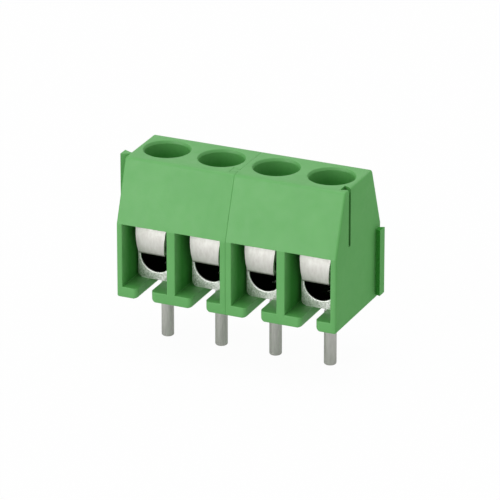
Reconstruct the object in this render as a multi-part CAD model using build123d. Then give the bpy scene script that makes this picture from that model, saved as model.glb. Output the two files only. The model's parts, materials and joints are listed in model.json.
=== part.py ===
from build123d import *
import math
import os

# A four pole screw terminal block for a circuit board, in millimetres.
# X runs along the row of poles, the wires enter from -Y and Z is up.
# The origin lies on the board, at the middle of the row and on the line of the solder pins.

# The row
pole_pitch = 3.50
poles_per_housing = 2
housing_count = 2

# The outer section of a housing: upright walls below, a sloped roof above
body_depth = 6.66
body_height = 8.37
top_depth = 4.00
shoulder_height = 4.61
top_edge_radius = 0.25
shoulder_radius = 0.40
foot_chamfer = 0.12
end_edge_chamfer = 0.12

# The wire pockets in the front
end_wall = 0.37
partition = 0.54
floor_thickness = 0.67
pin_slot_width = 0.87
pin_slot_edge_radius = 0.22
pin_slot_mouth_radius = 0.30
seat_front_y = -1.00

# The screw holes in the top
screw_hole_diameter = 2.72
screw_hole_chamfer = 0.08
screw_axis_y = 0.08

# The dovetails that join housings side by side
tongue_width = 0.68
tongue_root_width = 0.28
front_tongue_y = -1.365
front_tongue_depth = 0.45
front_tongue_bottom = 4.80
rear_tongue_y = 2.73
rear_tongue_depth = 0.36
rear_tongue_bottom = 0.28
rear_tongue_top = 4.42
tongue_clearance = 0.03

# The metal clamp body in each pocket
clamp_width = 2.40
clamp_depth = 3.00
clamp_height = 3.83
clamp_corner_radius = 0.35
clamp_edge_radius = 0.12
clamp_seat_clearance = 0.03
wire_bore_diameter = 2.06
wire_bore_height = 2.18
wire_bore_chamfer = 0.07

# The solder pin under each clamp body
pin_diameter = 0.75
pin_length = 3.45
pin_tip_chamfer = 0.10
pin_neck_width = 0.53
pin_neck_below = 0.10
spigot_diameter = 0.40
spigot_length = 0.42
spigot_clearance = 0.03

# The bent leaf that guards the wire from the screw
leaf_thickness = 0.20
leaf_top_width = 2.00
leaf_bottom_width = 1.70
leaf_taper_height = 1.60
leaf_bow_radius = 2.20
leaf_bow_height = 3.45
leaf_bow_front_y = -2.40
leaf_top_angle = 15.0
leaf_bottom_angle = 22.0
leaf_plate_length = 1.90
leaf_bend_radius = 0.25
leaf_tongue_width = 1.50
leaf_tongue_end_y = 0.95
leaf_corner_radius = 0.15
leaf_clearance = 0.10
leaf_travel_up = 0.20

# The clamp screw
screw_diameter = 2.00
thread_clearance = 0.04
screw_head_diameter = 2.50
screw_head_height = 1.10
screw_head_chamfer = 0.12
screw_head_gap = 1.05
screw_slot_width = 0.40
screw_slot_depth = 0.55
screw_tip_chamfer = 0.20
screw_tip_gap = 0.05

# What follows from the sizes above
housing_width = pole_pitch * poles_per_housing
front_y = -body_depth / 2
rear_y = body_depth / 2
clamp_top = floor_thickness + clamp_height
pocket_rear_y = clamp_depth / 2 + clamp_seat_clearance
slot_end_y = (pin_slot_width - pin_diameter) / 2
leaf_centre_y = leaf_bow_front_y + leaf_bow_radius


def leaf_points(inset):
    """The leaf's side view at a depth inside its front surface: plate, bow, bend, tongue."""
    bow = leaf_bow_radius - inset
    bend = leaf_bend_radius - inset
    top = math.radians(leaf_top_angle)
    low = math.radians(leaf_bottom_angle)
    reach = leaf_bow_radius - leaf_bend_radius
    bend_y = leaf_centre_y - reach * math.cos(low)
    bend_z = leaf_bow_height - reach * math.sin(low)
    bow_top = (leaf_centre_y - bow * math.cos(top), leaf_bow_height + bow * math.sin(top))
    bow_mid = (leaf_centre_y - bow, leaf_bow_height)
    bow_low = (leaf_centre_y - bow * math.cos(low), leaf_bow_height - bow * math.sin(low))
    half = (low + math.pi / 2) / 2
    bend_mid = (bend_y - bend * math.cos(half), bend_z - bend * math.sin(half))
    bend_end = (bend_y, bend_z - bend)
    plate_end = (
        bow_top[0] + leaf_plate_length * math.sin(top),
        bow_top[1] + leaf_plate_length * math.cos(top),
    )
    tongue_end = (leaf_tongue_end_y, bend_z - bend)
    return plate_end, bow_top, bow_mid, bow_low, bend_mid, bend_end, tongue_end


def leaf_curve(inset):
    """The leaf's side view as joined lines and arcs, from the plate's end to the tongue's."""
    plate_end, bow_top, bow_mid, bow_low, bend_mid, bend_end, tongue_end = leaf_points(inset)
    plate = Line(plate_end, bow_top)
    bow = ThreePointArc(bow_top, bow_mid, bow_low)
    bend = ThreePointArc(bow_low, bend_mid, bend_end)
    tongue = Line(bend_end, tongue_end)
    return [plate, bow, bend, tongue]


def leaf_section():
    """The leaf's closed side view, in the YZ plane."""
    front = leaf_points(0)
    rear = leaf_points(leaf_thickness)
    ends = [Line(front[0], rear[0]), Line(front[-1], rear[-1])]
    return Plane.YZ * make_face(Curve() + leaf_curve(0) + leaf_curve(leaf_thickness) + ends)


leaf_plate_end_z = leaf_points(0)[0][1]
leaf_tongue_top = leaf_points(leaf_thickness)[-1][1]


def dovetail(depth, z_low, z_high, clearance=0.0):
    """An upright dovetail that widens from X = 0 towards -X: a tongue, or with clearance a groove."""
    root = tongue_root_width / 2 + clearance
    tip = tongue_width / 2 + clearance
    plan = Polyline(
        (end_edge_chamfer, -root),
        (0, -root),
        (-depth - clearance, -tip),
        (-depth - clearance, tip),
        (0, root),
        (end_edge_chamfer, root),
        close=True,
    )
    return Pos(0, 0, z_low) * extrude(make_face(plan), amount=z_high - z_low)


def housing_outer():
    """The plain outer body, one section drawn along the row, with softened edges."""
    outline = Polyline(
        (front_y, 0),
        (front_y, shoulder_height),
        (-top_depth / 2, body_height),
        (top_depth / 2, body_height),
        (rear_y, shoulder_height),
        (rear_y, 0),
        close=True,
    )
    body = extrude(Plane.YZ * make_face(outline), amount=housing_width / 2, both=True)
    long_edges = body.edges().filter_by(Axis.X).sort_by(Axis.Z)
    body = fillet(long_edges[-2:], top_edge_radius)
    long_edges = body.edges().filter_by(Axis.X).filter_by_position(
        Axis.Z, shoulder_height - shoulder_radius, shoulder_height + shoulder_radius
    )
    body = fillet(long_edges, shoulder_radius)
    long_edges = body.edges().filter_by(Axis.X).filter_by_position(Axis.Z, -foot_chamfer, foot_chamfer)
    body = chamfer(long_edges, foot_chamfer)
    ends = body.faces().filter_by(Axis.X)
    return chamfer(ends.edges(), end_edge_chamfer)


def pole_places():
    """The pole centres of one housing, from its own middle."""
    first = -pole_pitch * (poles_per_housing - 1) / 2
    return [first + index * pole_pitch for index in range(poles_per_housing)]


def pocket_limits(pole_x):
    """The pocket's two side walls: an end wall or half a partition from the pole's share."""
    left = pole_x - pole_pitch / 2
    right = pole_x + pole_pitch / 2
    at_left_end = left < -housing_width / 2 + pole_pitch / 4
    at_right_end = right > housing_width / 2 - pole_pitch / 4
    left += end_wall if at_left_end else partition / 2
    right -= end_wall if at_right_end else partition / 2
    return left, right


def wire_pocket(pole_x):
    """The open front pocket and, behind it, the close seat of the clamp body."""
    left, right = pocket_limits(pole_x)
    height = shoulder_height - floor_thickness
    middle_z = floor_thickness + height / 2
    mouth_depth = seat_front_y - front_y
    mouth = Pos((left + right) / 2, seat_front_y - mouth_depth, middle_z) * Box(
        right - left, 2 * mouth_depth, height
    )
    seat_depth = pocket_rear_y - seat_front_y
    seat = Pos(pole_x, seat_front_y + seat_depth / 2, middle_z) * Box(
        clamp_width + 2 * clamp_seat_clearance, seat_depth, height
    )
    return mouth + seat


def pin_slot():
    """The slot in the floor that lets the clamp body and its pin slide in from the front."""
    straight = Pos(0, front_y, floor_thickness / 2) * Box(
        pin_slot_width, 2 * (slot_end_y - front_y), floor_thickness
    )
    round_end = Pos(0, slot_end_y, floor_thickness / 2) * Cylinder(
        pin_slot_width / 2, floor_thickness
    )
    return straight + round_end + slot_mouth_rounds() + slot_lower_rounds()


def slot_mouth_rounds():
    """What the round corners of the slot's mouth take from the lips."""
    radius = pin_slot_mouth_radius
    reach = pin_slot_width / 2 + radius
    room = Pos(0, front_y, floor_thickness / 2) * Box(2 * reach, 2 * radius, floor_thickness)
    for side in (-1, 1):
        room -= Pos(side * reach, front_y + radius, floor_thickness / 2) * Cylinder(
            radius, 2 * floor_thickness
        )
    return room


def slot_lower_rounds():
    """What the slot's round lower edges take from the floor."""
    radius = pin_slot_edge_radius
    reach = pin_slot_width / 2 + radius
    run = slot_end_y - front_y
    room = Pos(0, front_y, 0) * Box(2 * reach, 2 * run, 2 * radius)
    for side in (-1, 1):
        room -= Pos(side * reach, front_y, radius) * Rot(90, 0, 0) * Cylinder(radius, 2 * run)
    round_end = Pos(0, slot_end_y, 0) * Cylinder(reach, 2 * radius)
    round_end -= Pos(0, slot_end_y, radius) * Torus(reach, radius)
    return room + round_end


def leaf_recess(pole_x):
    """The room behind the front wall for the leaf's slanted plate, raised or pushed down."""
    plate_y, plate_z = leaf_points(-leaf_clearance)[0]
    plate_z += leaf_travel_up
    slope = math.tan(math.radians(leaf_top_angle))
    top_z = leaf_plate_end_z + leaf_travel_up + leaf_clearance
    back_y = leaf_points(leaf_thickness)[0][0] + leaf_clearance
    side_view = Polyline(
        (plate_y + (shoulder_height - plate_z) * slope, shoulder_height),
        (back_y, shoulder_height),
        (back_y, top_z),
        (plate_y + (top_z - plate_z) * slope, top_z),
        close=True,
    )
    half_width = leaf_top_width / 2 + leaf_clearance
    return Pos(pole_x, 0, 0) * extrude(Plane.YZ * make_face(side_view), amount=half_width, both=True)


def screw_hole(pole_x):
    """The round hole in the top, down to the pocket."""
    depth = body_height - shoulder_height
    return Pos(pole_x, screw_axis_y, shoulder_height + depth / 2) * Cylinder(
        screw_hole_diameter / 2, depth
    )


def soften_screw_holes(body):
    """Chamfers the holes' rims, which are the inner outlines of the top face."""
    top_face = body.faces().sort_by(Axis.Z)[-1]
    rims = [rim for wire in top_face.inner_wires() for rim in wire.edges()]
    return chamfer(rims, screw_hole_chamfer)


def make_housing():
    """One moulded housing, centred on X = 0, with a tongue and a groove on each side."""
    body = housing_outer()
    for pole_x in pole_places():
        body -= screw_hole(pole_x)
    body = soften_screw_holes(body)
    for pole_x in pole_places():
        body -= Pos(pole_x, 0, 0) * pin_slot()
        body -= wire_pocket(pole_x)
        body -= leaf_recess(pole_x)
    left = -housing_width / 2
    right = housing_width / 2
    front_tongue = dovetail(front_tongue_depth, front_tongue_bottom, body_height)
    rear_tongue = Rot(0, 0, 180) * dovetail(rear_tongue_depth, rear_tongue_bottom, rear_tongue_top)
    front_groove = dovetail(
        front_tongue_depth,
        front_tongue_bottom - tongue_clearance,
        body_height + top_edge_radius,
        tongue_clearance,
    )
    rear_groove = Rot(0, 0, 180) * dovetail(
        rear_tongue_depth, -foot_chamfer, rear_tongue_top + tongue_clearance, tongue_clearance
    )
    body += Pos(left, front_tongue_y, 0) * front_tongue
    body += Pos(right, rear_tongue_y, 0) * rear_tongue
    body -= Pos(right, front_tongue_y, 0) * front_groove
    body -= Pos(left, rear_tongue_y, 0) * rear_groove
    return body


def make_clamp_body():
    """The metal block round the wire: a bore along Y, the screw's hole and the pin's seat."""
    block = Pos(0, 0, floor_thickness + clamp_height / 2) * Box(
        clamp_width, clamp_depth, clamp_height
    )
    along = block.edges().filter_by(Axis.Y).sort_by(Axis.Z)
    block = fillet(along[:2], clamp_corner_radius)
    along = block.edges().filter_by(Axis.Y).sort_by(Axis.Z)
    block = fillet(along[-2:], clamp_edge_radius)
    bore = Pos(0, 0, wire_bore_height) * Rot(90, 0, 0) * Cylinder(
        wire_bore_diameter / 2, 2 * clamp_depth
    )
    thread_depth = clamp_top - wire_bore_height
    thread = Pos(0, screw_axis_y, wire_bore_height + thread_depth / 2) * Cylinder(
        screw_diameter / 2, thread_depth
    )
    base = wire_bore_height - floor_thickness
    pin_seat = Pos(0, 0, floor_thickness + base / 2) * Cylinder(
        spigot_diameter / 2 + spigot_clearance, base
    )
    block -= bore
    side_wall = (clamp_width - wire_bore_diameter) / 2
    rims = block.edges().filter_by(lambda edge: edge.is_closed)
    block = chamfer(rims, min(wire_bore_chamfer, side_wall / 2))
    return block - thread - pin_seat


def make_solder_pin():
    """The round pin, its square neck in the floor's slot and its spigot in the clamp body."""
    shank_length = pin_length - pin_neck_below
    shank = Pos(0, 0, shank_length / 2 - pin_length) * Cylinder(pin_diameter / 2, shank_length)
    tip = shank.edges().filter_by(GeomType.CIRCLE).sort_by(Axis.Z)[0]
    shank = chamfer(tip, pin_tip_chamfer)
    neck_length = floor_thickness + pin_neck_below
    neck = Pos(0, 0, floor_thickness - neck_length / 2) * Box(
        pin_neck_width, pin_neck_width, neck_length
    )
    spigot = Pos(0, 0, floor_thickness + spigot_length / 2) * Cylinder(
        spigot_diameter / 2, spigot_length
    )
    return shank + neck + spigot


def make_wire_guard():
    """The folded leaf: a plate behind the front wall, a bow in the pocket, a tongue below."""
    strip = extrude(leaf_section(), amount=leaf_top_width / 2, both=True)
    low_z = leaf_points(0)[-1][1] - leaf_thickness
    taper_z = low_z + leaf_thickness + leaf_taper_height
    top_z = leaf_plate_end_z + leaf_thickness
    front_view = Polyline(
        (-leaf_bottom_width / 2, low_z),
        (-leaf_bottom_width / 2, low_z + leaf_thickness),
        (-leaf_top_width / 2, taper_z),
        (-leaf_top_width / 2, top_z),
        (leaf_top_width / 2, top_z),
        (leaf_top_width / 2, taper_z),
        (leaf_bottom_width / 2, low_z + leaf_thickness),
        (leaf_bottom_width / 2, low_z),
        close=True,
    )
    strip &= extrude(Plane.XZ * make_face(front_view), amount=body_depth, both=True)
    tongue_start = leaf_points(0)[-2][0]
    side_depth = leaf_tongue_end_y - tongue_start
    side_width = (leaf_top_width - leaf_tongue_width) / 2
    side_height = 2 * leaf_bend_radius + leaf_thickness
    for side in (-1, 1):
        strip -= Pos(
            side * (leaf_tongue_width + side_width) / 2,
            tongue_start + side_depth / 2,
            leaf_tongue_top,
        ) * Box(side_width, side_depth, side_height)
    tongue_corners = strip.edges().filter_by(Axis.Z).filter_by_position(
        Axis.Y, leaf_tongue_end_y - leaf_thickness, leaf_tongue_end_y + leaf_thickness
    )
    return fillet(tongue_corners, leaf_corner_radius)


def make_clamp_screw():
    """The slotted clamp screw, whose tip stands just above the leaf's tongue."""
    tip_z = leaf_tongue_top + screw_tip_gap
    head_z = clamp_top + screw_head_gap
    shank_length = head_z - tip_z
    shank_radius = screw_diameter / 2 - thread_clearance
    shank = Pos(0, 0, tip_z + shank_length / 2) * Cylinder(shank_radius, shank_length)
    tip = shank.edges().filter_by(GeomType.CIRCLE).sort_by(Axis.Z)[0]
    shank = chamfer(tip, screw_tip_chamfer)
    head = Pos(0, 0, head_z + screw_head_height / 2) * Cylinder(
        screw_head_diameter / 2, screw_head_height
    )
    rim = head.edges().filter_by(GeomType.CIRCLE).sort_by(Axis.Z)[-1]
    head = chamfer(rim, screw_head_chamfer)
    slot_z = head_z + screw_head_height - screw_slot_depth / 2
    head -= Pos(0, 0, slot_z) * Box(2 * screw_head_diameter, screw_slot_width, screw_slot_depth)
    return Pos(0, screw_axis_y, 0) * (shank + head)


def write(node, shape):
    export_step(shape, os.path.join("parts", node + ".step"))


os.makedirs("parts", exist_ok=True)

housing = make_housing()
for index in range(housing_count):
    housing_x = (index - (housing_count - 1) / 2) * housing_width
    write(f"housing_{index + 1}", Pos(housing_x, 0, 0) * housing)

pole_parts = {
    "clamp_body": make_clamp_body(),
    "solder_pin": make_solder_pin(),
    "wire_guard": make_wire_guard(),
    "clamp_screw": make_clamp_screw(),
}
pole_count = poles_per_housing * housing_count
for index in range(pole_count):
    pole_x = (index - (pole_count - 1) / 2) * pole_pitch
    for name, shape in pole_parts.items():
        write(f"{name}_{index + 1}", Pos(pole_x, 0, 0) * shape)
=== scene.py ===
# %% [markdown]
# # A four pole terminal block for a circuit board
# The block is two green moulded housings side by side. Each pole has a plated clamp body in a
# front pocket, a bent leaf that guards the wire, a clamp screw in a hole in the top and a round
# solder pin below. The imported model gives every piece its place, in metres and with Z up. This
# lesson gives every piece a finer mesh and a finish of its own.

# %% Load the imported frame
import json
import math

import bmesh
import bpy
from mathutils import Matrix, Vector

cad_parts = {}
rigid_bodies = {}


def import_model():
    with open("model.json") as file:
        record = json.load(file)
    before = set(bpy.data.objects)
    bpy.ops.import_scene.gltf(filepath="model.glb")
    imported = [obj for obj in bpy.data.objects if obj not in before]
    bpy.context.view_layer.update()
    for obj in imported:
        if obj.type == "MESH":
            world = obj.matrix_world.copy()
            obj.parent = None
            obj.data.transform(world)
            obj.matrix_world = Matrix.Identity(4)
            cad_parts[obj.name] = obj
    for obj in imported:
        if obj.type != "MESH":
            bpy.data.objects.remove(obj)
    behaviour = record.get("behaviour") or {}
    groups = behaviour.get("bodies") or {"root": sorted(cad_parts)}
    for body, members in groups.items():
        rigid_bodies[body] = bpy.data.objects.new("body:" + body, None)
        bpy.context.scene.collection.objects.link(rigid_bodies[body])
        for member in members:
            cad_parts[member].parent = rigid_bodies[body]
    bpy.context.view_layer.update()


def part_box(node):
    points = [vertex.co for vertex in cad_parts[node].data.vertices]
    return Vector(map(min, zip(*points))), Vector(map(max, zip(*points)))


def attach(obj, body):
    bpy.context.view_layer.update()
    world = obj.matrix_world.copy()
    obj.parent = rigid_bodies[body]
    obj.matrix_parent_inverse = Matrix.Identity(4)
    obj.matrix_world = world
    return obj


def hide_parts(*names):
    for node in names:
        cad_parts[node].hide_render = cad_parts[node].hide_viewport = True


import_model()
MM = 0.001
pole_names = [str(number) for number in range(1, 5)]
pole_x = {}
for pole in pole_names:
    box_low, box_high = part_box("solder_pin_" + pole)
    pole_x[pole] = (box_low.x + box_high.x) / 2 / MM
print("poles at", pole_x, "mm")

# %% [markdown]
# ## Helpers for closed meshes
# Almost everything here is either a section drawn along a straight line or a stack of rings, like
# the layers of a turned or moulded piece. Two helpers make those two kinds, and both give closed
# meshes, because a closed mesh can be cut by another one and can be measured. Sizes are written in
# millimetres and become metres in one place.


# %% Make closed meshes
def add_mesh(name, points, faces):
    """A new object from points in millimetres."""
    mesh = bpy.data.meshes.new(name)
    mesh.from_pydata([Vector(point) * MM for point in points], [], faces)
    mesh.validate()
    piece = bpy.data.objects.new(name, mesh)
    bpy.context.scene.collection.objects.link(piece)
    return piece


def face_outwards(piece):
    """Turns a skin inside out if its faces look inwards."""
    work = bmesh.new()
    work.from_mesh(piece.data)
    if work.calc_volume(signed=True) < 0:
        bmesh.ops.reverse_faces(work, faces=work.faces)
    work.to_mesh(piece.data)
    work.free()


def stack(name, rings):
    """Joins rings of equally many points into a closed skin with flat ends."""
    count = len(rings[0])
    points = [point for ring in rings for point in ring]
    faces = []
    for level in range(len(rings) - 1):
        for index in range(count):
            after = (index + 1) % count
            low = level * count
            high = low + count
            faces.append((low + index, low + after, high + after, high + index))
    faces.append(tuple(reversed(range(count))))
    faces.append(tuple(range(len(points) - count, len(points))))
    piece = add_mesh(name, points, faces)
    face_outwards(piece)
    return piece


def prism(name, outline, low, high, along):
    """Draws a flat outline along X, Y or Z, from low to high."""
    place = {
        "X": lambda a, b, t: (t, a, b),
        "Y": lambda a, b, t: (a, t, b),
        "Z": lambda a, b, t: (a, b, t),
    }[along]
    return stack(name, [[place(a, b, t) for a, b in outline] for t in (low, high)])


def rectangle(left, right, low, high):
    return [(left, low), (right, low), (right, high), (left, high)]


# %% [markdown]
# ## Round corners
# A mould never leaves a sharp corner. The larger radii are drawn into the outline itself: each
# corner is replaced by an arc that touches both of its sides. The edges at the ends of what is
# drawn are rounded in another way: the outline shrinks or grows from ring to ring, by the steps of
# a quarter of a circle.


# %% Round an outline's corners
def arc_points(centre, radius, start, end, steps):
    """Points on an arc, with both ends."""
    angles = [start + (end - start) * index / steps for index in range(steps + 1)]
    return [(centre[0] + radius * math.cos(a), centre[1] + radius * math.sin(a)) for a in angles]


def sides_at(corners, index):
    """A corner, and the directions of the two sides that meet there."""
    here = Vector(corners[index][:2])
    before = (Vector(corners[index - 1][:2]) - here).normalized()
    after = (Vector(corners[(index + 1) % len(corners)][:2]) - here).normalized()
    return here, before, after


def rounded(corners, steps=6):
    """Turns corners of (a, b, radius) into an outline with arcs in place of the corners."""
    outline = []
    for index, (a, b, radius) in enumerate(corners):
        if radius == 0:
            outline.append((a, b))
            continue
        here, before, after = sides_at(corners, index)
        half = before.angle(after) / 2
        centre = here + (before + after).normalized() * (radius / math.sin(half))
        start = here + before * (radius / math.tan(half)) - centre
        end = here + after * (radius / math.tan(half)) - centre
        first = math.atan2(start.y, start.x)
        turn = math.atan2(end.y, end.x) - first
        turn = (turn + math.pi) % (2 * math.pi) - math.pi
        outline += arc_points(centre, radius, first, first + turn, steps)
    return outline


def shrink(corners, inset, least_radius=0.01):
    """Moves every side of an outline of corners inwards and makes its radii smaller."""
    smaller = []
    for index, corner in enumerate(corners):
        here, before, after = sides_at(corners, index)
        half = before.angle(after) / 2
        moved = here + (before + after).normalized() * (inset / math.sin(half))
        smaller.append((moved.x, moved.y, max(corner[2] - inset, least_radius)))
    return smaller


def quarter_flare(radius, steps=6):
    """Pairs of (depth below the face, extra width), from the face inwards, down a quarter round."""
    angles = [math.pi / 2 * index / steps for index in range(steps + 1)]
    return [(radius * (1 - math.cos(a)), radius * (1 - math.sin(a))) for a in angles]


# %% [markdown]
# ## Cut and join
# Holes are cut with the Boolean modifier and its exact solver. All cutters go into one collection
# and cut at once, which stays clean where cutters meet. The modifier's result is kept as the
# piece's mesh straight away, so that the cutters can go.


# %% Cut and join
def keep_result(piece):
    """Replaces the mesh by what the modifiers make of it."""
    graph = bpy.context.evaluated_depsgraph_get()
    made = bpy.data.meshes.new_from_object(piece.evaluated_get(graph))
    piece.modifiers.clear()
    piece.data = made


def combine(piece, tools, operation):
    """Cuts the tools out of the piece, or joins them to it, all at once, and removes them."""
    group = bpy.data.collections.new("tools")
    for tool in tools:
        group.objects.link(tool)
    change = piece.modifiers.new("change", "BOOLEAN")
    change.operation = operation
    change.solver = "EXACT"
    change.operand_type = "COLLECTION"
    change.collection = group
    keep_result(piece)
    for tool in tools:
        bpy.data.objects.remove(tool)
    bpy.data.collections.remove(group)


# %% [markdown]
# ## Clean and soften
# A cut leaves points that lie almost together and large faces with many corners. The points are
# merged and the large faces are split before anything else is done, because a bevel folds over on
# both. The metal pieces then get a narrow bevel, which catches the light along their edges. The
# housings have their rounds in their outlines and cutters, and their other edges stay crisp.


# %% Clean and soften
def clean(piece, reach=0.0002):
    """Merges points that lie together, and drops faces without area and faces back to back."""
    work = bmesh.new()
    work.from_mesh(piece.data)
    bmesh.ops.remove_doubles(work, verts=work.verts, dist=reach * MM)
    bmesh.ops.dissolve_degenerate(work, edges=work.edges, dist=reach * MM)
    groups = {}
    for face in work.faces:
        groups.setdefault(frozenset(face.verts), []).append(face)
    folded = [face for group in groups.values() if len(group) > 1 for face in group]
    bmesh.ops.delete(work, geom=folded, context="FACES")
    work.to_mesh(piece.data)
    work.free()


def split_large_faces(piece):
    """Splits faces of more than four corners into triangles."""
    split = piece.modifiers.new("split large faces", "TRIANGULATE")
    split.min_vertices = 5
    keep_result(piece)


def smooth_shading(piece):
    piece.data.polygons.foreach_set("use_smooth", [True] * len(piece.data.polygons))


def soften(piece, width, segments=3, angle=28):
    """Rounds what is sharp and smooths the shading of the rest."""
    clean(piece)
    split_large_faces(piece)
    bevel = piece.modifiers.new("soft edges", "BEVEL")
    bevel.width = width * MM
    bevel.segments = segments
    bevel.limit_method = "ANGLE"
    bevel.angle_limit = math.radians(angle)
    bevel.miter_outer = "MITER_ARC"
    bevel.loop_slide = False
    bevel.use_clamp_overlap = True
    bevel.harden_normals = True
    smooth_shading(piece)
    keep_result(piece)


def keep_edges(piece, angle=28):
    """Smooths the shading of round stretches and leaves the other edges crisp."""
    clean(piece)
    split_large_faces(piece)
    smooth_shading(piece)
    piece.data.set_sharp_from_angle(angle=math.radians(angle))


# %% [markdown]
# ## The housing
# One moulding holds two poles. Its section is a box with a sloped roof, the same in front and
# behind. From the front it is cut by two pockets and by two slots in the floor, through which each
# clamp body slides in with its pin. From above come the two screw holes. Every cutter reaches a
# little past the face that it opens, because a cut is uncertain where two faces share a plane.

# %% Sizes of the housing
housing_width = 7.00
body_depth = 6.66
body_height = 8.37
top_depth = 4.00
shoulder_height = 4.61
floor_thickness = 0.67
pole_pitch = 3.50
front_y = -body_depth / 2
rear_y = body_depth / 2
past = 0.4
print("housing:", housing_width, "by", body_depth, "by", body_height, "mm")

# %% [markdown]
# ### The plain block
# The section is drawn along the row. Its first and last rings shrink, which rounds the edges of
# both ends. The outer ends of the row are rounder than the ends where the two housings meet,
# because the seam between them hardly shows on the real block.

# %% Make the plain block
top_edge_radius = 0.25
shoulder_radius = 0.40
foot_radius = 0.12
outer_end_radius = 0.14
mating_end_radius = 0.03


def housing_block(left_radius, right_radius):
    """The plain block with round edges all about."""
    corners = [
        (front_y, 0, foot_radius),
        (front_y, shoulder_height, shoulder_radius),
        (-top_depth / 2, body_height, top_edge_radius),
        (top_depth / 2, body_height, top_edge_radius),
        (rear_y, shoulder_height, shoulder_radius),
        (rear_y, 0, foot_radius),
    ]
    left = quarter_flare(left_radius)
    right = quarter_flare(right_radius)
    places = [(-housing_width / 2 + depth, inset) for depth, inset in left]
    places += [(housing_width / 2 - depth, inset) for depth, inset in reversed(right)]
    rings = []
    for x, inset in places:
        rings.append([(x, y, z) for y, z in rounded(shrink(corners, inset))])
    return stack("housing", rings)


# %% [markdown]
# ### Cutters for the screw holes
# Each hole lets the driver in and hides the screw's head. Its rim is a small chamfer with soft
# edges. So the cutter is a stack of circles, whose radii and heights follow a rounded profile.

# %% Cutters for the screw holes
hole_radius = 1.36
hole_y = 0.08
hole_rim_width = 0.07
hole_rim_depth = 0.18
rim_low_radius = 0.06
rim_high_radius = 0.05


def flat_circle(radius, count=96):
    angles = [2 * math.pi * index / count for index in range(count)]
    return [(radius * math.cos(a), radius * math.sin(a)) for a in angles]


def circle(x, y, z, radius, count=96):
    """A level ring about an upright line."""
    return [(x + a, y + b, z) for a, b in flat_circle(radius, count)]


def hole_profile():
    """(radius, z) pairs up the wall of a screw hole and over its chamfered rim."""
    corners = [
        (hole_radius, shoulder_height, 0),
        (hole_radius, body_height - hole_rim_depth, rim_low_radius),
        (hole_radius + hole_rim_width, body_height, rim_high_radius),
        (2 * hole_radius, body_height, 0),
    ]
    return rounded(corners, steps=4)[:-1]


def screw_hole_cutter(x):
    profile = hole_profile()
    rings = [circle(x, hole_y, z, radius) for radius, z in profile]
    rings.append(circle(x, hole_y, body_height + past, profile[-1][0]))
    return stack("screw hole cutter", rings)


print("screw hole cutter:", len(hole_profile()) + 1, "rings")

# %% [markdown]
# ### Cutters for the pin slots
# The pin comes in from the front through a slot in the floor. The lips between the slots are round
# in both directions on the real block. So the cutter's outline is a keyhole that opens out at the
# front in two arcs, and the outline grows towards the underside.

# %% Cutters for the pin slots
slot_width = 0.87
slot_end_y = 0.06
slot_edge_radius = 0.22
slot_mouth_radius = 0.30


def slot_ring(x, z, extra):
    """A keyhole: round behind, and opening out at the front in two arcs."""
    half = slot_width / 2 + extra
    radius = slot_mouth_radius
    reach = half + radius
    rear = arc_points((x, slot_end_y), half, 0, math.pi, steps=24)
    left = arc_points((x - reach, front_y + radius), radius, 0, -math.pi / 2, steps=8)
    front = [(x - reach, front_y - past), (x + reach, front_y - past)]
    right = arc_points((x + reach, front_y + radius), radius, -math.pi / 2, -math.pi, steps=8)
    return [(a, b, z) for a, b in rear + left + front + right]


def pin_slot_cutter(x):
    rings = [slot_ring(x, -past, slot_edge_radius)]
    for depth, extra in quarter_flare(slot_edge_radius):
        rings.append(slot_ring(x, depth, extra))
    rings.append(slot_ring(x, floor_thickness + past, 0))
    return stack("pin slot cutter", rings)


print("slot:", slot_width, "mm wide, at its lips", slot_width + 2 * slot_edge_radius, "mm")

# %% [markdown]
# ### The leaf's path and the room for its plate
# The wire guard is a leaf of spring sheet, 0.2 mm thick. Its side view is one path: a slanted plate
# behind the front wall, a bow over the wire, a bend, and a flat tongue under the screw. The path is
# needed here already, because the slanted room behind the front wall leaves the plate 0.1 mm all
# about, also when the leaf is at the top of its travel.

# %% The leaf's path
leaf_thickness = 0.20
bow_radius = 2.20
bow_height = 3.45
bow_centre_y = -0.20
plate_angle = math.radians(15.0)
fold_angle = math.radians(22.0)
plate_length = 1.90
bend_radius = 0.25
tongue_end_y = 0.95
bend_centre_y = bow_centre_y - (bow_radius - bend_radius) * math.cos(fold_angle)
bend_centre_z = bow_height - (bow_radius - bend_radius) * math.sin(fold_angle)
bend_low = bend_centre_z - bend_radius


def leaf_path(inset, steps=1):
    """The leaf's side view at a depth inside its front face: plate, bow, bend and tongue."""
    bow = bow_radius - inset
    bend = bend_radius - inset
    start = math.pi - plate_angle
    middle = math.pi + fold_angle
    bow_curve = arc_points((bow_centre_y, bow_height), bow, start, middle, 14 * steps)
    bend_curve = arc_points((bend_centre_y, bend_centre_z), bend, middle, 1.5 * math.pi, 5 * steps)
    top_y, top_z = bow_curve[0]
    plate = []
    for index in range(4 * steps):
        run = plate_length * (1 - index / (4 * steps))
        plate.append((top_y + run * math.sin(plate_angle), top_z + run * math.cos(plate_angle)))
    last_y, last_z = bend_curve[-1]
    tongue = []
    for index in range(1, 5 * steps + 1):
        tongue.append((last_y + (tongue_end_y - last_y) * index / (5 * steps), last_z))
    return plate + bow_curve + bend_curve[1:] + tongue


middle_path = leaf_path(leaf_thickness / 2)
flat_length = sum(math.dist(here, after) for here, after in zip(middle_path, middle_path[1:]))
print("leaf, laid flat:", round(flat_length, 2), "mm long")

# %% Cutter for the plate's room
leaf_top_width = 2.00
leaf_clearance = 0.10
leaf_travel_up = 0.20


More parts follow.
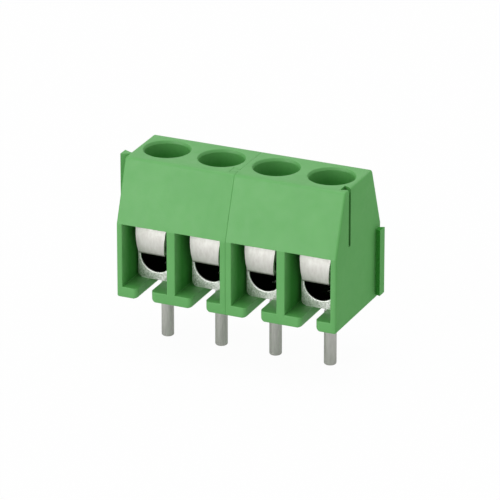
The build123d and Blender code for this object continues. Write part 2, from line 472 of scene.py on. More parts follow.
def leaf_room_cutter(x):
    slope = math.tan(plate_angle)
    front_end_y, front_end_z = leaf_path(-leaf_clearance)[0]
    front_end_z += leaf_travel_up
    back_y = leaf_path(leaf_thickness)[0][0] + leaf_clearance
    top = leaf_path(0)[0][1] + leaf_travel_up + leaf_clearance
    low = shoulder_height - past
    outline = [
        (front_end_y + (low - front_end_z) * slope, low),
        (back_y, low),
        (back_y, top),
        (front_end_y + (top - front_end_z) * slope, top),
    ]
    half = leaf_top_width / 2 + leaf_clearance
    return prism("leaf room cutter", outline, x - half, x + half, "X")


print("leaf's room:", leaf_top_width + 2 * leaf_clearance, "mm wide")

# %% [markdown]
# ### Cutters for the pockets
# A pocket is wide at its mouth, where the leaf bows out, and narrow behind, where it seats the clamp
# body. The wall at the row's end is thinner than the one between two poles. The mouth's edge is
# slightly round, so this cutter too grows towards the front.

# %% Cutters for the pockets
end_wall = 0.37
partition = 0.54
mouth_edge_radius = 0.07
seat_width = 2.46
seat_front_y = -1.00
seat_rear_y = 1.53


def pocket_ring(left, right, y, extra):
    low = floor_thickness - extra
    high = shoulder_height + extra
    return [(a, y, b) for a, b in rectangle(left - extra, right + extra, low, high)]


def pocket_cutter(left, right):
    rings = [pocket_ring(left, right, front_y - past, mouth_edge_radius)]
    for depth, extra in quarter_flare(mouth_edge_radius):
        rings.append(pocket_ring(left, right, front_y + depth, extra))
    rings.append(pocket_ring(left, right, seat_front_y, 0))
    return stack("pocket cutter", rings)


def seat_cutter(x):
    outline = rectangle(seat_front_y - past, seat_rear_y, floor_thickness, shoulder_height)
    half = seat_width / 2
    return prism("seat cutter", outline, x - half, x + half, "X")


print("pocket:", round((housing_width - partition) / 2 - end_wall, 3), "mm wide, seat", seat_width, "mm")

# %% [markdown]
# ### Dovetails
# Housings join side by side with dovetails: on the left a tongue in front and a groove behind, on
# the right the other way round. One outline makes both, because a groove is the tongue with a gap
# about it. A tongue starts inside the block, so that it joins it well, and a groove's cutter starts
# outside, so that it opens the side face.

# %% Dovetails
tongue_width = 0.68
tongue_gap = 0.02
groove_mouth = 0.05
front_tongue_y = -1.365
front_tongue_root = 0.24
front_tongue_depth = 0.45
front_tongue_low = 4.80
rear_tongue_y = 2.73
rear_tongue_root = 0.34
rear_tongue_depth = 0.36
rear_tongue_low = 0.28
rear_tongue_high = 4.42


def dovetail(x, y, out, depth, low, high, root_width, gap=0.0):
    """An upright dovetail on a side face. Out is the way it widens, a gap makes it a groove."""
    root = root_width / 2 + gap
    tip = tongue_width / 2 + gap
    behind = past if gap == 0 else groove_mouth
    outline = [
        (x - out * behind, y - root),
        (x, y - root),
        (x + out * (depth + gap), y - tip),
        (x + out * (depth + gap), y + tip),
        (x, y + root),
        (x - out * behind, y + root),
    ]
    return prism("dovetail", outline, low, high, "Z")


def tongues(left_side, right_side):
    """The front tongue on the left and the rear one on the right."""
    front = dovetail(left_side, front_tongue_y, -1, front_tongue_depth,
                     front_tongue_low, body_height, front_tongue_root)
    rear = dovetail(right_side, rear_tongue_y, 1, rear_tongue_depth,
                    rear_tongue_low, rear_tongue_high, rear_tongue_root)
    return [front, rear]


def groove_cutters(left_side, right_side):
    """The front groove on the right and the rear one on the left."""
    front = dovetail(right_side, front_tongue_y, -1, front_tongue_depth,
                     front_tongue_low - tongue_gap, body_height + past, front_tongue_root, tongue_gap)
    rear = dovetail(left_side, rear_tongue_y, 1, rear_tongue_depth,
                    -past, rear_tongue_high + tongue_gap, rear_tongue_root, tongue_gap)
    return [front, rear]


# %% [markdown]
# ### The finished housing
# The tongues are joined to the block first, and then everything is cut away in one go. Each housing
# is made about X = 0 and is moved to its place later.


# %% Build the housings
def housing_mesh(left_radius, right_radius):
    left_side = -housing_width / 2
    right_side = housing_width / 2
    body = housing_block(left_radius, right_radius)
    combine(body, tongues(left_side, right_side), "UNION")
    cutters = groove_cutters(left_side, right_side)
    for side in (-1, 1):
        x = side * pole_pitch / 2
        inner = side * partition / 2
        outer = side * (housing_width / 2 - end_wall)
        cutters += [pocket_cutter(min(inner, outer), max(inner, outer)), seat_cutter(x)]
        cutters += [pin_slot_cutter(x), screw_hole_cutter(x), leaf_room_cutter(x)]
    combine(body, cutters, "DIFFERENCE")
    return body


left_housing = housing_mesh(outer_end_radius, mating_end_radius)
right_housing = housing_mesh(mating_end_radius, outer_end_radius)
for housing in (left_housing, right_housing):
    keep_edges(housing)
    print("housing:", len(housing.data.vertices), "points")

# %% [markdown]
# ## The clamp body
# A plated block with a bore for the wire. Its front shows as a bright U under the leaf, because the
# rim of the bore is well rounded and catches the light. It could be built point by point, but a
# block with three cutters is shorter and closed from the start. The bore's cutter widens at both
# ends, as the pin slot's does below.

# %% Build the clamp body
clamp_width = 2.40
clamp_depth = 3.00
clamp_height = 3.83
clamp_top = floor_thickness + clamp_height
clamp_corner = 0.35
clamp_edge = 0.12
bore_radius = 1.03
bore_height = 2.18
bore_rim = 0.075
thread_hole_radius = 1.00
pin_seat_radius = 0.23


def bore_ring(y, radius):
    return [(a, y, bore_height + b) for a, b in flat_circle(radius)]


def bore_cutter():
    half = clamp_depth / 2
    flare = quarter_flare(bore_rim)
    rings = [bore_ring(-half - past, bore_radius + bore_rim)]
    rings += [bore_ring(-half + depth, bore_radius + extra) for depth, extra in flare]
    rings += [bore_ring(half - depth, bore_radius + extra) for depth, extra in reversed(flare)]
    rings += [bore_ring(half + past, bore_radius + bore_rim)]
    return stack("bore cutter", rings)


def clamp_block():
    half = clamp_width / 2
    corners = [
        (-half, floor_thickness, clamp_corner),
        (half, floor_thickness, clamp_corner),
        (half, clamp_top, clamp_edge),
        (-half, clamp_top, clamp_edge),
    ]
    return prism("clamp body", rounded(corners, steps=12), -clamp_depth / 2, clamp_depth / 2, "Y")


def clamp_mesh():
    block = clamp_block()
    thread_rings = [circle(0, hole_y, z, thread_hole_radius) for z in (bore_height, clamp_top + past)]
    seat_ends = (floor_thickness - past, bore_height)
    seat_rings = [circle(0, 0, z, pin_seat_radius, count=32) for z in seat_ends]
    thread_hole = stack("thread cutter", thread_rings)
    pin_seat = stack("pin seat cutter", seat_rings)
    combine(block, [bore_cutter(), thread_hole, pin_seat], "DIFFERENCE")
    return block


clamp_model = clamp_mesh()
soften(clamp_model, width=0.03)
print("clamp body:", len(clamp_model.data.vertices), "points")

# %% [markdown]
# ## The wire guard
# The leaf hangs behind the front wall, bows out over the wire and folds back under the screw. The
# strip between two of its paths, one at its front face and one a sheet's thickness behind, is
# stacked point by point, and each ring is as wide as the sheet is there. That gives the sheet its
# true thickness round the bend, which a Solidify modifier would give too, but without the taper.

# %% Build the wire guard
leaf_bottom_width = 1.70
leaf_taper_height = 1.60
tongue_blade_width = 1.50
tongue_run_in = 0.25
tongue_end_round = 0.15
tongue_end_width_loss = 0.30


def leaf_half_width(y, z):
    """Half the sheet's width at a place on it."""
    share = (z - bend_low - leaf_thickness) / leaf_taper_height
    share = min(1.0, max(0.0, share))
    width = leaf_bottom_width + (leaf_top_width - leaf_bottom_width) * share
    if z < bend_low + 2 * leaf_thickness and y > bend_centre_y:
        run_in = min(1.0, (y - bend_centre_y) / tongue_run_in)
        width += (tongue_blade_width - width) * run_in
        near_end = (y - tongue_end_y + tongue_end_round) / tongue_end_round
        if near_end > 0:
            width -= tongue_end_width_loss * near_end ** 2
    return width / 2


def guard_mesh(columns=8):
    rings = []
    for near, far in zip(leaf_path(0, steps=2), leaf_path(leaf_thickness, steps=2)):
        half = leaf_half_width(*near)
        across = [half * (2 * index / columns - 1) for index in range(columns + 1)]
        ring = [(x, near[0], near[1]) for x in across]
        ring += [(x, far[0], far[1]) for x in reversed(across)]
        rings.append(ring)
    return stack("wire guard", rings)


guard_model = guard_mesh()
soften(guard_model, width=0.025, segments=2)
print("wire guard:", len(guard_model.data.vertices), "points")

# %% [markdown]
# ## The clamp screw's thread
# The thread is a skin wound on a helix: each point of the skin lies a little higher than the one
# before it, so that after one turn it meets the skin one pitch further up. Turning this screw
# clockwise by one turn moves it down by one pitch, so the thread stays in mesh in every pose. A
# real thread runs out towards the tip and the head, and so this one fades there.

# %% The clamp screw's thread
thread_pitch = 0.40
screw_outer = 0.96
screw_core = 0.76
screw_tip_z = 2.72
head_z = 5.55
thread_overlap = 0.05
tip_inset = 0.10
tip_fade = 0.35
head_fade = 0.30
root_share = 0.12
flank_share = 0.70


def thread_depth(phase):
    """How far the skin stands out, from 0 at the root to 1 at the crest."""
    ridge = 1 - abs(2 * phase - 1)
    return min(1.0, max(0.0, (ridge - root_share) / flank_share))


def thread_points(low, high, rows, columns, steps):
    points = []
    for row in range(rows + 1):
        for column in range(columns):
            turn = column / columns
            rise = (row / steps - 1 + turn) * thread_pitch
            z = min(high, max(low, low + rise))
            fade = min(1.0, (z - low) / tip_fade, (high - z) / head_fade)
            stand = thread_depth((row / steps) % 1) * max(0.0, fade)
            radius = screw_core + (screw_outer - screw_core) * stand
            if z == low:
                radius = screw_core - tip_inset
            angle = 2 * math.pi * turn
            points.append((radius * math.cos(angle), radius * math.sin(angle) + hole_y, z))
    return points


def thread_faces(rows, columns, steps):
    """Joins each point to the next one. The last column meets the first one a pitch further up."""
    faces = []
    for row in range(rows):
        for column in range(columns):
            here = row * columns + column
            if column < columns - 1:
                faces.append((here, here + 1, here + 1 + columns, here + columns))
            elif row + 1 + steps <= rows:
                wrap = (row + steps) * columns
                faces.append((here, wrap, wrap + columns, here + columns))
    return faces


def thread_mesh(steps=10, columns=64):
    """A wound skin from the tip to the head."""
    high = head_z + thread_overlap
    rows = int((high - screw_tip_z) / thread_pitch + 2) * steps
    points = thread_points(screw_tip_z, high, rows, columns, steps)
    return add_mesh("thread", points, thread_faces(rows, columns, steps))


def close_thread(piece, reach=1e-8):
    """Merges the collapsed ends and fills them."""
    work = bmesh.new()
    work.from_mesh(piece.data)
    bmesh.ops.remove_doubles(work, verts=work.verts, dist=reach)
    bmesh.ops.dissolve_degenerate(work, edges=work.edges, dist=reach)
    open_edges = [edge for edge in work.edges if edge.is_boundary]
    bmesh.ops.holes_fill(work, edges=open_edges, sides=0)
    bmesh.ops.recalc_face_normals(work, faces=work.faces)
    work.to_mesh(piece.data)
    work.free()


print("thread:", round((head_z - screw_tip_z) / thread_pitch, 1), "turns")

# %% [markdown]
# ## The clamp screw
# The head is a short cylinder with a round upper edge and a slot for the driver. It gets its bevel
# before the thread is joined to it, because a bevel on a wound skin would follow every ridge.

# %% Build the clamp screw
head_height = 1.10
head_top = head_z + head_height
head_radius = 1.25
head_edge = 0.12
driver_slot_width = 0.40
driver_slot_depth = 0.55


def driver_slot_cutter():
    half = driver_slot_width / 2
    outline = rectangle(hole_y - half, hole_y + half, head_top - driver_slot_depth, head_top + past)
    return prism("driver slot", outline, -2 * head_radius, 2 * head_radius, "X")


def screw_head():
    rings = [circle(0, hole_y, head_z, head_radius, count=64)]
    for depth, extra in reversed(quarter_flare(head_edge)):
        rings.append(circle(0, hole_y, head_top - depth, head_radius - extra, count=64))
    head = stack("screw head", rings)
    combine(head, [driver_slot_cutter()], "DIFFERENCE")
    soften(head, width=0.03, segments=2)
    return head


def screw_mesh():
    head = screw_head()
    thread = thread_mesh()
    close_thread(thread)
    combine(head, [thread], "UNION")
    split_large_faces(head)
    clean(head)
    smooth_shading(head)
    return head


screw_model = screw_mesh()
print("clamp screw:", len(screw_model.data.vertices), "points")

# %% [markdown]
# ## The solder pin
# Drawn round wire, cut to length and tumbled, so its end is only slightly rounded. Its neck in the
# floor's slot is square, and a thin spigot above it sits in the clamp body. Circles and squares of
# equally many points stack up to the whole pin, so no part of it has to be joined on.

# %% Build the solder pin
pin_radius = 0.375
pin_low = -3.45
pin_tip = 0.10
neck_half = 0.265
neck_low = -0.10
spigot_radius = 0.20
spigot_top = floor_thickness + 0.42
pin_count = 48


def square(half, z):
    """A square ring with as many points as the pin's circles, so that the two can be joined."""
    ring = []
    for x, y in flat_circle(1.0, pin_count):
        reach = half / max(abs(x), abs(y))
        ring.append((x * reach, y * reach, z))
    return ring


def pin_mesh():
    rings = []
    for depth, extra in quarter_flare(pin_tip):
        rings.append(circle(0, 0, pin_low + depth, pin_radius - extra, pin_count))
    rings.append(circle(0, 0, neck_low, pin_radius, pin_count))
    rings.append(square(neck_half, neck_low))
    rings.append(square(neck_half, floor_thickness))
    rings.append(circle(0, 0, floor_thickness, spigot_radius, pin_count))
    rings.append(circle(0, 0, spigot_top, spigot_radius, pin_count))
    return stack("solder pin", rings)


pin_model = pin_mesh()
soften(pin_model, width=0.02, segments=2)
print("solder pin:", len(pin_model.data.vertices), "points")

# %% [markdown]
# ## Helpers for finishes
# Every finish is made of noise in millimetres, so that grain and scratches have their real size.
# A picture could give the grain too, but noise needs no file and has no seams. Its values gather
# in the middle, so only the middle range is spread over colours and numbers.

# %% Noise, colours and bumps
noise_low = 0.3
noise_high = 0.7


def new_finish(name):
    """A material and its node tree, where the node millimetres gives the piece's coordinates."""
    finish = bpy.data.materials.new(name)
    finish.use_nodes = True
    tree = finish.node_tree
    place = tree.nodes.new("ShaderNodeTexCoord")
    scale = tree.nodes.new("ShaderNodeMapping")
    scale.name = "millimetres"
    scale.inputs["Scale"].default_value = (1 / MM, 1 / MM, 1 / MM)
    tree.links.new(place.outputs["Object"], scale.inputs["Vector"])
    return finish, tree


def add_noise(tree, size, detail, stretch=(1, 1, 1)):
    """Noise whose features are about size millimetres, stretched along the given axes."""
    squeeze = tree.nodes.new("ShaderNodeMapping")
    squeeze.inputs["Scale"].default_value = tuple(1 / (size * s) for s in stretch)
    noise = tree.nodes.new("ShaderNodeTexNoise")
    noise.inputs["Scale"].default_value = 1.0
    noise.inputs["Detail"].default_value = detail
    tree.links.new(tree.nodes["millimetres"].outputs["Vector"], squeeze.inputs["Vector"])
    tree.links.new(squeeze.outputs["Vector"], noise.inputs["Vector"])
    return noise.outputs["Fac"]


def spread(tree, source, start, end, low=0.0, high=1.0):
    """Low where the source is at start, high where it is at end, and in proportion between."""
    node = tree.nodes.new("ShaderNodeMapRange")
    node.inputs["From Min"].default_value = start
    node.inputs["From Max"].default_value = end
    node.inputs["To Min"].default_value = low
    node.inputs["To Max"].default_value = high
    tree.links.new(source, node.inputs["Value"])
    return node.outputs["Result"]


def noise_colours(tree, noise, dark, light):
    """Turns a noise's middle range into colours between two."""
    ramp = tree.nodes.new("ShaderNodeValToRGB")
    ramp.color_ramp.elements[0].position = noise_low
    ramp.color_ramp.elements[1].position = noise_high
    ramp.color_ramp.elements[0].color = (*dark, 1)
    ramp.color_ramp.elements[1].color = (*light, 1)
    tree.links.new(noise, ramp.inputs["Fac"])
    return ramp.outputs["Color"]


def noise_numbers(tree, noise, low, high):
    """Turns a noise's middle range into numbers between two."""
    return spread(tree, noise, noise_low, noise_high, low, high)


def add_bumps(tree, noise, height, strength):
    """Raises the surface by a noise, by at most height millimetres."""
    bump = tree.nodes.new("ShaderNodeBump")
    bump.inputs["Distance"].default_value = height * MM
    bump.inputs["Strength"].default_value = strength
    tree.links.new(noise, bump.inputs["Height"])
    tree.links.new(bump.outputs["Normal"], tree.nodes["Principled BSDF"].inputs["Normal"])


# %% [markdown]
# ### Masks
# Some finishes differ from place to place on one piece, such as the shade painted deep in a hole. A mask
# says where: it is 1 inside a region and 0 outside. Each one is a short sum on the piece's own
# coordinates, so it stays on the piece in every pose. The poles are alike, so X is counted from each
# pole's middle.


# %% Masks
def calculate(tree, operation, *terms):
    """A sum on sockets and numbers."""
    node = tree.nodes.new("ShaderNodeMath")
    node.operation = operation
    for socket, term in zip(node.inputs, terms):
        if isinstance(term, (int, float)):
            socket.default_value = term
        else:
            tree.links.new(term, socket)
    return node.outputs[0]


def above(tree, value, limit):
    return calculate(tree, "GREATER_THAN", value, limit)


def below(tree, value, limit):
    return calculate(tree, "LESS_THAN", value, limit)


def product(tree, first, *others):
    """The region where all the masks overlap."""
    for other in others:
        first = calculate(tree, "MULTIPLY", first, other)
    return first


def piece_axes(tree):
    """X, Y and Z on the piece, in millimetres."""
    split = tree.nodes.new("ShaderNodeSeparateXYZ")
    tree.links.new(tree.nodes["millimetres"].outputs["Vector"], split.inputs["Vector"])
    return split.outputs["X"], split.outputs["Y"], split.outputs["Z"]


def from_pole(tree, x):
    """X counted from the middle of each pole."""
    half = pole_pitch / 2
    return calculate(tree, "WRAP", calculate(tree, "ADD", x, half), half, -half)


def distance(tree, a, b, b_middle):
    """How far (a, b) is from (0, b_middle)."""
    b = calculate(tree, "SUBTRACT", b, b_middle)
    a_square = calculate(tree, "MULTIPLY", a, a)
    b_square = calculate(tree, "MULTIPLY", b, b)
    return calculate(tree, "SQRT", calculate(tree, "ADD", a_square, b_square))


def mix_colours(tree, share, first, second):
    """From the first colour, a socket, to the second one, which is written as numbers."""
    mix = tree.nodes.new("ShaderNodeMixRGB")
    mix.inputs["Color2"].default_value = (*second, 1)
    tree.links.new(share, mix.inputs["Fac"])
    tree.links.new(first, mix.inputs["Color1"])
    return mix.outputs["Color"]


# %% [markdown]
# ### Painted shade and dull ends on the plastic
# Shade is painted into the green in the pockets, down in the screw holes and on the sides of the rear
# tongue, where little light gets in: the colour there is mixed towards a dark, deep green. The row's end
# faces are duller than the rest, apart from the front tongue that stands out of one of them. A small
# margin keeps each mask's limit off the faces.

# %% Painted shade and dull ends on the plastic
mask_margin = 0.02
floor_margin = 0.05
roof_margin = 0.01
seat_margin = 0.05
beyond_margin = 0.01
tip_margin = 0.03
end_round = 0.04
# Where the painted shade fades in: in a pocket from the front, in a screw hole below the rim.
pocket_shade_fade = (0.15, 1.0)
hole_shade_depth = 0.9


# Painted shade in a pocket: between its walls, over its floor and under its roof, fading in from the
# front.
def pocket_mask(tree, pole_side, y, z):
    half_width = (pole_pitch - partition) / 2 + mask_margin
    between_walls = below(tree, calculate(tree, "ABSOLUTE", pole_side), half_width)
    fade = spread(tree, y, front_y + pocket_shade_fade[0], front_y + pocket_shade_fade[1])
    over_floor = above(tree, z, floor_thickness + floor_margin)
    under_roof = below(tree, z, shoulder_height + roof_margin)
    before_end = below(tree, y, seat_rear_y + seat_margin)
    return product(tree, between_walls, fade, over_floor, under_roof, before_end)


# Painted shade down in a screw hole: it fades in below the chamfered rim.
def hole_mask(tree, pole_side, y, z):
    in_hole = below(tree, distance(tree, pole_side, y, hole_y), hole_radius + mask_margin)
    over_pocket = above(tree, z, shoulder_height)
    fade = spread(tree, z, body_height - hole_rim_depth, body_height - hole_shade_depth)
    return product(tree, in_hole, over_pocket, fade)


def rear_tongue_mask(tree, row_x, y):
    """The sides of the tongue behind, without its tip, where shade is painted."""
    beyond_end = above(tree, row_x, housing_width + beyond_margin)
    before_tip = below(tree, row_x, housing_width + rear_tongue_depth - tip_margin)
    return product(tree, beyond_end, before_tip, above(tree, y, 0.0))


def end_mask(tree, row_x, y):
    """The row's end faces, without the tongue in front."""
    at_end = above(tree, row_x, housing_width - end_round)
    beyond_end = above(tree, row_x, housing_width + beyond_margin)
    front_tongue = product(tree, beyond_end, below(tree, y, 0.0))
    return calculate(tree, "SUBTRACT", at_end, front_tongue)


# %% [markdown]
# ### Green plastic
# A satin moulding: the colour is nearly even, with faint clouds, and a fine grain breaks up its gloss.
# Outside, the satin surface adds some of the white surroundings and looks paler. So the gloss fades away
# inside, where the mask also mixes in painted shade, a dark green that stands in for the shade in
# pockets and holes.

# %% Green plastic
plain_green = (0.082, 0.345, 0.072)
pale_green = (0.092, 0.365, 0.080)
# Painted shade: the dark green that the pockets, holes and rear tongue's sides are mixed towards, and
# how much of it.
painted_shade_green = (0.006, 0.230, 0.002)
painted_shade_share = 0.85
hole_shade_share = 0.80
end_dullness = 0.35
inside_dullness = 0.45


def green_plastic():
    finish, tree = new_finish("green plastic")
    shader = tree.nodes["Principled BSDF"]
    x, y, z = piece_axes(tree)
    pole_side = from_pole(tree, x)
    row_x = calculate(tree, "ABSOLUTE", x)
    # Where shade is painted: in the pockets, down in the screw holes and beside the rear tongue. There
    # the colour is mixed towards the dark green.
    hole = product(tree, hole_mask(tree, pole_side, y, z), hole_shade_share)
    inside = calculate(tree, "MAXIMUM", pocket_mask(tree, pole_side, y, z), hole)
    inside = calculate(tree, "MAXIMUM", inside, rear_tongue_mask(tree, row_x, y))
    colour = noise_colours(tree, add_noise(tree, size=1.6, detail=2.0), plain_green, pale_green)
    colour = mix_colours(tree, product(tree, inside, painted_shade_share), colour, painted_shade_green)
    tree.links.new(colour, shader.inputs["Base Color"])
    end = product(tree, end_mask(tree, row_x, y), end_dullness)
    dull = calculate(tree, "MAXIMUM", end, product(tree, inside, inside_dullness))
    rough = noise_numbers(tree, add_noise(tree, size=0.5, detail=3.0), low=0.48, high=0.56)
    tree.links.new(calculate(tree, "ADD", rough, dull), shader.inputs["Roughness"])
    add_bumps(tree, add_noise(tree, size=0.05, detail=2.0), height=0.004, strength=0.35)
    shader.inputs["IOR"].default_value = 1.50
    shader.inputs["Specular IOR Level"].default_value = 0.80
    return finish


plastic = green_plastic()
print("green plastic:", len(plastic.node_tree.nodes), "nodes")

# %% [markdown]
# ### Plated metal
# The leaf, the clamp body, the screw and the pin are all silvery, but not alike: the leaf is bright
# with rubbed streaks, the clamp body is rough and sparkles, the screw is darker, and the pin is a
# dull grey drawn along its length. One function makes them all, because they differ only in their
# colours, their gloss and the size and direction of their streaks.


# %% Plated metal
def plated_metal(name, dark, light, rough, streak, size, bump):
    """Metal with colour and gloss that vary along streaks."""
    finish, tree = new_finish(name)
    shader = tree.nodes["Principled BSDF"]
    shader.inputs["Metallic"].default_value = 1.0
    rub = add_noise(tree, size, detail=4.0, stretch=streak)
    fine = add_noise(tree, size / 3, detail=3.0, stretch=streak)
    tree.links.new(noise_colours(tree, rub, dark, light), shader.inputs["Base Color"])
    tree.links.new(noise_numbers(tree, fine, *rough), shader.inputs["Roughness"])
    add_bumps(tree, rub, height=bump, strength=0.6)
    return finish


leaf_metal = plated_metal(
    "bright spring sheet", dark=(0.63, 0.61, 0.58), light=(0.73, 0.72, 0.69),
    rough=(0.50, 0.62), streak=(0.9, 1, 2.5), size=0.20, bump=0.003,
)
clamp_metal = plated_metal(
    "plated block", dark=(0.46, 0.50, 0.43), light=(1.00, 1.00, 0.97),
    rough=(0.22, 0.50), streak=(1, 1, 1), size=0.07, bump=0.020,
)
screw_metal = plated_metal(
    "zinc plated screw", dark=(0.36, 0.37, 0.38), light=(0.50, 0.51, 0.52),
    rough=(0.30, 0.44), streak=(1, 1, 1), size=0.12, bump=0.004,
)
pin_metal = plated_metal(
    "dull tinned wire", dark=(0.42, 0.42, 0.395), light=(0.53, 0.53, 0.50),
    rough=(0.40, 0.52), streak=(0.6, 0.6, 8), size=0.10, bump=0.004,
)
print("metals:", [metal.name for metal in (leaf_metal, clamp_metal, screw_metal, pin_metal)])

# %% [markdown]
# ### Painted shade on the metal
# Shade is painted into the metal's colour in three places: deep in the wire bore, in the driver slot,
# and where the leaf bends back under the screw. Real shadow alone leaves metal too bright there, because
# it mirrors the white studio. So each of these places fades to a dark colour of its own, which is
# painted shade.

# %% Painted shade on the metal
# Colours and fades of the painted shade in the bore, at the leaf's bend and in the driver slot.
bore_shade_colour = (0.012, 0.009, 0.005)
bore_shade_fade = (0.05, 0.12)
bend_shade_colour = (0.10, 0.09, 0.08)
bend_shade_fade = (0.20, 0.02)
slot_shade_colour = (0.03, 0.03, 0.03)
slot_shade_fade = (0.03, 0.20)
head_margin = 0.10


def darken(tree, mask, colour):
    """Paints shade: mixes a dark colour into the finish's own one."""
    base = tree.nodes["Principled BSDF"].inputs["Base Color"]
    own_colour = base.links[0].from_socket
    tree.links.new(mix_colours(tree, mask, own_colour, colour), base)


# Painted shade deep in the wire bore: behind its front rim the bore fades to nearly black.
def darken_bore(tree):
    x, y, z = piece_axes(tree)
    from_bore = distance(tree, from_pole(tree, x), z, bore_height)
    in_bore = below(tree, from_bore, bore_radius + mask_margin)
    front = -clamp_depth / 2
    deep = spread(tree, y, front + bore_shade_fade[0], front + bore_shade_fade[1])
    darken(tree, product(tree, in_bore, deep), bore_shade_colour)


# Painted shade where the leaf bends back under the screw: the bend fades to a dark grey.
def darken_bend(tree):
    z = piece_axes(tree)[2]
    darken(tree, spread(tree, z, bend_low + bend_shade_fade[0], bend_low + bend_shade_fade[1]), bend_shade_colour)


# Painted shade in the driver slot: below the head's top the slot fades to nearly black.
def darken_slot(tree):
    x, y, z = piece_axes(tree)
    from_middle = distance(tree, from_pole(tree, x), y, hole_y)
    in_head = below(tree, from_middle, head_radius - mask_margin)
    over_thread = above(tree, z, head_z + head_margin)
    deep = spread(tree, z, head_top - slot_shade_fade[0], head_top - slot_shade_fade[1])
    darken(tree, product(tree, in_head, over_thread, deep), slot_shade_colour)


darken_bore(clamp_metal.node_tree)
darken_bend(leaf_metal.node_tree)
darken_slot(screw_metal.node_tree)
print("plated block:", len(clamp_metal.node_tree.nodes), "nodes")

# %% [markdown]
# ## Put the pieces in place
# Each model was made about the middle of its pole or housing. Its mesh is copied and moved, so that
# every piece's place is in its mesh. Then the piece is given its finish and the body that it rides on,
# and the packed node that it stands for is hidden.


# %% Put the pieces in place
def place_copy(model, name, x, finish, body, node):
    piece = bpy.data.objects.new(name, model.data.copy())
    piece.data.name = name
    piece.data.transform(Matrix.Translation((x * MM, 0, 0)))
    piece.data.materials.clear()
    piece.data.materials.append(finish)
    bpy.context.scene.collection.objects.link(piece)
    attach(piece, body)
    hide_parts(node)


for model, number, side in ((left_housing, "1", -1), (right_housing, "2", 1)):
    place_copy(model, "moulded_housing_" + number, side * housing_width / 2, plastic,
               "housing", "housing_" + number)
for pole in pole_names:
    x = pole_x[pole]
    guard_body = "wire_guard_" + pole
    screw_body = "clamp_screw_" + pole
    place_copy(clamp_model, "plated_clamp_" + pole, x, clamp_metal, "housing",
               "clamp_body_" + pole)
    place_copy(pin_model, "tinned_pin_" + pole, x, pin_metal, "housing",
               "solder_pin_" + pole)
    place_copy(guard_model, "spring_leaf_" + pole, x, leaf_metal, guard_body,
               guard_body)
    place_copy(screw_model, "slotted_screw_" + pole, x, screw_metal, screw_body,
               screw_body)
for model in (left_housing, right_housing, clamp_model, guard_model, screw_model, pin_model):
    bpy.data.objects.remove(model)
print("pieces placed:", 2 + 4 * len(pole_names))

# %% [markdown]
# ## Floor
# The photograph has a pure white background. The floor is white and matt. To the camera it also
# glows, and to reflections a little, so that it stays white and keeps only a faint shadow. More
# lamp light would whiten it too, but would bleach the block.

# %% Floor
floor_half = 1500.0
floor_grey = 0.86
floor_roughness = 0.9
camera_glow = 0.965
reflection_glow = 0.30


def show_by_share(tree, share, first, second, output):
    """Shows the second shader by a share from 0 to 1, and the first one for the rest."""
    mix = tree.nodes.new("ShaderNodeMixShader")
    tree.links.new(share, mix.inputs["Fac"])
    tree.links.new(first, mix.inputs[1])
    tree.links.new(second, mix.inputs[2])
    tree.links.new(mix.outputs["Shader"], tree.nodes[output].inputs["Surface"])


def white_floor():
    finish = bpy.data.materials.new("white floor")
    finish.use_nodes = True
    tree = finish.node_tree
    matt = tree.nodes["Principled BSDF"]
    matt.inputs["Base Color"].default_value = (floor_grey, floor_grey, floor_grey, 1)
    matt.inputs["Roughness"].default_value = floor_roughness
    glow = tree.nodes.new("ShaderNodeEmission")
    path = tree.nodes.new("ShaderNodeLightPath")
    seen = calculate(tree, "MULTIPLY", path.outputs["Is Camera Ray"], camera_glow)
    mirrored = path.outputs["Is Glossy Ray"]
    share = calculate(tree, "MULTIPLY_ADD", mirrored, reflection_glow, seen)
    show_by_share(tree, share, matt.outputs["BSDF"], glow.outputs["Emission"], "Material Output")
    return finish


square_floor = rectangle(-floor_half, floor_half, -floor_half, floor_half)
floor = add_mesh("floor", [(a, b, pin_low) for a, b in square_floor], [(0, 1, 2, 3)])
floor.data.materials.append(white_floor())
print("floor at", pin_low, "mm")

# %% [markdown]
# ## Light
# The block stands in a plain white studio. The surroundings give most of the light, and only the
# camera and mirrors see them at full white. A large lamp in front, a little to the left, lights the
# sloped roof and the leaves, and a lamp above lights the top and draws the faint shadow.


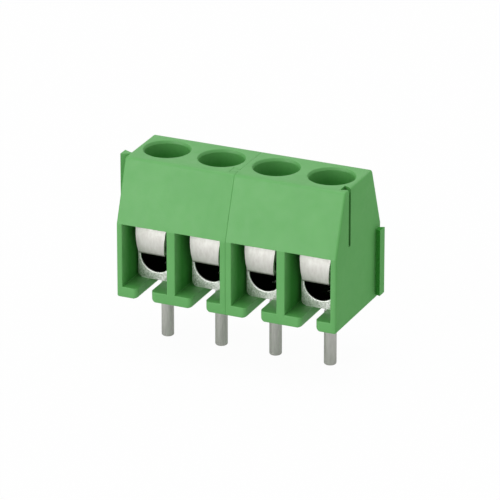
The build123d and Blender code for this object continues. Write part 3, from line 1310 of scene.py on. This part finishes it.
# %% Light
def surroundings(strength):
    world = bpy.data.worlds.new("studio")
    bpy.context.scene.world = world
    world.use_nodes = True
    tree = world.node_tree
    plain = tree.nodes["Background"]
    white = tree.nodes.new("ShaderNodeBackground")
    plain.inputs["Color"].default_value = (1, 1, 1, 1)
    white.inputs["Color"].default_value = (1, 1, 1, 1)
    plain.inputs["Strength"].default_value = strength
    path = tree.nodes.new("ShaderNodeLightPath")
    seen = calculate(tree, "MAXIMUM", path.outputs["Is Camera Ray"], path.outputs["Is Glossy Ray"])
    show_by_share(tree, seen, plain.outputs["Background"], white.outputs["Background"], "World Output")


def direction(azimuth, elevation):
    """The way from the block to a lamp or a camera, by two angles in degrees."""
    a, e = math.radians(azimuth), math.radians(elevation)
    return Vector((math.sin(a) * math.cos(e), -math.cos(a) * math.cos(e), math.sin(e)))


def aim(thing, way):
    """Turns a lamp or a camera to look back along a way."""
    thing.rotation_mode = "QUATERNION"
    thing.rotation_quaternion = (-way).to_track_quat("-Z", "Y")
    bpy.context.scene.collection.objects.link(thing)


def soft_lamp(name, azimuth, elevation, metres, size, power):
    """A square lamp that looks at the block."""
    lamp = bpy.data.objects.new(name, bpy.data.lights.new(name, "AREA"))
    lamp.data.shape = "SQUARE"
    lamp.data.size = size
    lamp.data.energy = power
    way = direction(azimuth, elevation)
    lamp.location = way * metres
    aim(lamp, way)


surroundings(strength=0.62)
soft_lamp("key lamp", azimuth=-30, elevation=14, metres=0.60, size=0.50, power=1.58)
soft_lamp("top lamp", azimuth=0, elevation=88, metres=0.60, size=0.30, power=1.08)
print("lamps:", len(bpy.data.lights))

# %% [markdown]
# ## Camera
# The camera stands far away with a long lens, as the nearly parallel edges of the photograph ask.
# Its place was fitted to the block's corners there. The fit gave the focal length in pixels, and
# the sensor's width stands for the picture's 500 pixels.

# %% Camera
camera_azimuth = 24.05
camera_elevation = 22.55
camera_distance = 301.6
camera_target = Vector((0.241, -0.326, 3.040))
focal_pixels = 5151
image_pixels = 500
sensor_width = 36.0
camera = bpy.data.objects.new("camera", bpy.data.cameras.new("camera"))
camera.data.sensor_width = sensor_width
camera.data.lens = sensor_width * focal_pixels / image_pixels
camera.data.clip_start = 0.01
camera.data.clip_end = 10.0
camera_way = direction(camera_azimuth, camera_elevation)
camera.location = (camera_target + camera_way * camera_distance) * MM
aim(camera, camera_way)
bpy.context.scene.camera = camera
bpy.context.scene.view_settings.view_transform = "Standard"
print("lens:", round(camera.data.lens, 1), "mm")
